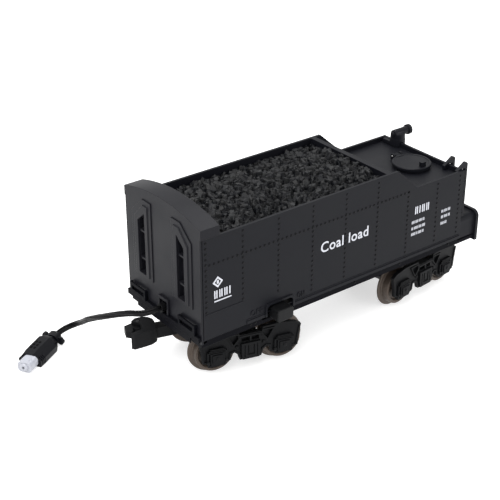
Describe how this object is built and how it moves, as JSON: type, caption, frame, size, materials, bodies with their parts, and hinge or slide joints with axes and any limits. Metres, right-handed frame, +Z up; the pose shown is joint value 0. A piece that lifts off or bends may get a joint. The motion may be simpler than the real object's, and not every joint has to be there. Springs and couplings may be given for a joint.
{
  "type": "model railway tender",
  "caption": "Model locomotive coal tender: open bunker with moulded coal, rear water deck, two swivelling trucks with knuckle couplers, and a tether cable with a plug.",
  "frame": {"origin": "under the middle of the tender's own box (without the tether cable and its plug), at the lowest point of the wheel flanges; the tender's centre plane is at y = +2.7 mm, because the switch knob stands out on one side only", "axes": "+X along the tender from the cable and front panel end to the tool box end, +Z up, -Y is the side with the slide switch"},
  "size_m": [0.2626, 0.1013, 0.0962],
  "materials": {
    "body_plastic": "satin moulded charcoal black, with fine texture",
    "panel_plastic": "satin moulded dark grey, a shade lighter than the body",
    "frame_plastic": "satin moulded black",
    "coal": "rough lumps, glossy on their edges",
    "truck_plastic": "satin moulded black",
    "wheel_metal": "blackened brown metal, worn brighter on the tread",
    "steel": "bright turned steel",
    "cable_jacket": "satin black insulation",
    "plug_plastic": "satin black",
    "clear_plastic": "milky translucent",
    "board": "green circuit board",
    "electronics": "dark grey"
  },
  "bodies": {
    "tender_body": {"underframe": "frame_plastic", "body_shell": "body_plastic", "front_panel": "panel_plastic", "front_beam": "frame_plastic", "coal_load": "coal", "tool_box": "body_plastic", "rear_ladder": "body_plastic", "hatch_collar": "body_plastic", "hatch_pin": "steel", "lamp_post": "body_plastic", "lamp_housing": "body_plastic", "lamp_lens": "clear_plastic", "switch_housing": "truck_plastic", "circuit_board": "board", "speaker": "electronics", "battery": "electronics", "front_kingpin": "steel", "rear_kingpin": "steel", "cable_gland": "cable_jacket", "body_screw_front_left": "steel", "body_screw_front_right": "steel", "body_screw_rear_left": "steel", "body_screw_rear_right": "steel", "cable": "cable_jacket", "plug_collar": "plug_plastic", "plug_housing": "plug_plastic", "plug_connector": "clear_plastic"},
    "hatch_lid": {"hatch_lid": "body_plastic"},
    "switch_knob": {"switch_knob": "truck_plastic"},
    "front_truck": {"front_truck_bolster": "truck_plastic", "front_truck_sideframe_left": "truck_plastic", "front_truck_sideframe_right": "truck_plastic", "front_coupler_rivet": "steel"},
    "front_outer_wheelset": {"front_outer_axle": "steel", "front_outer_wheel_left": "wheel_metal", "front_outer_wheel_right": "wheel_metal"},
    "front_inner_wheelset": {"front_inner_axle": "steel", "front_inner_wheel_left": "wheel_metal", "front_inner_wheel_right": "wheel_metal"},
    "front_coupler": {"front_coupler_body": "truck_plastic", "front_knuckle_pin": "steel"},
    "front_knuckle": {"front_knuckle": "truck_plastic"},
    "rear_truck": {"rear_truck_bolster": "truck_plastic", "rear_truck_sideframe_left": "truck_plastic", "rear_truck_sideframe_right": "truck_plastic", "rear_coupler_rivet": "steel"},
    "rear_outer_wheelset": {"rear_outer_axle": "steel", "rear_outer_wheel_left": "wheel_metal", "rear_outer_wheel_right": "wheel_metal"},
    "rear_inner_wheelset": {"rear_inner_axle": "steel", "rear_inner_wheel_left": "wheel_metal", "rear_inner_wheel_right": "wheel_metal"},
    "rear_coupler": {"rear_coupler_body": "truck_plastic", "rear_knuckle_pin": "steel"},
    "rear_knuckle": {"rear_knuckle": "truck_plastic"}
  },
  "joints": [
    {"name": "front_truck_swivel", "type": "hinge", "parent": "tender_body", "child": "front_truck", "pos_m": [-0.05507, 0.0027, 0.03025], "axis": [0, 0, 1], "range_deg": [-4, 36]},
    {"name": "front_outer_axle_spin", "type": "hinge", "parent": "front_truck", "child": "front_outer_wheelset", "pos_m": [-0.07189, 0.00752, 0.0124], "axis": [0.2756, 0.9613, 0], "continuous": true},
    {"name": "front_inner_axle_spin", "type": "hinge", "parent": "front_truck", "child": "front_inner_wheelset", "pos_m": [-0.03824, -0.00212, 0.0124], "axis": [0.2756, 0.9613, 0], "continuous": true},
    {"name": "front_coupler_swing", "type": "hinge", "parent": "front_truck", "child": "front_coupler", "pos_m": [-0.0791, 0.00959, 0.0194], "axis": [0, 0, 1], "range_deg": [-12, 12]},
    {"name": "front_knuckle_hinge", "type": "hinge", "parent": "front_coupler", "child": "front_knuckle", "pos_m": [-0.10067, 0.02035, 0.0194], "axis": [0, 0, -1], "range_deg": [0, 40]},
    {"name": "rear_truck_swivel", "type": "hinge", "parent": "tender_body", "child": "rear_truck", "pos_m": [0.05443, 0.0027, 0.03025], "axis": [0, 0, 1], "range_deg": [-26.5, 13.5]},
    {"name": "rear_outer_axle_spin", "type": "hinge", "parent": "rear_truck", "child": "rear_outer_wheelset", "pos_m": [0.07182, 0.00468, 0.0124], "axis": [0.1132, -0.9936, 0], "continuous": true},
    {"name": "rear_inner_axle_spin", "type": "hinge", "parent": "rear_truck", "child": "rear_inner_wheelset", "pos_m": [0.03705, 0.00072, 0.0124], "axis": [0.1132, -0.9936, 0], "continuous": true},
    {"name": "rear_coupler_swing", "type": "hinge", "parent": "rear_truck", "child": "rear_coupler", "pos_m": [0.07927, 0.00553, 0.0194], "axis": [0, 0, 1], "range_deg": [-12, 12]},
    {"name": "rear_knuckle_hinge", "type": "hinge", "parent": "rear_coupler", "child": "rear_knuckle", "pos_m": [0.10332, 0.00384, 0.0194], "axis": [0, 0, -1], "range_deg": [0, 40]},
    {"name": "hatch_hinge", "type": "hinge", "parent": "tender_body", "child": "hatch_lid", "pos_m": [0.05793, 0.0092, 0.07335], "axis": [-1, 0, 0], "range_deg": [0, 100]},
    {"name": "switch_slide", "type": "slide", "parent": "tender_body", "child": "switch_knob", "axis": [1, 0, 0], "range_m": [0, 0.0034]}
  ]
}
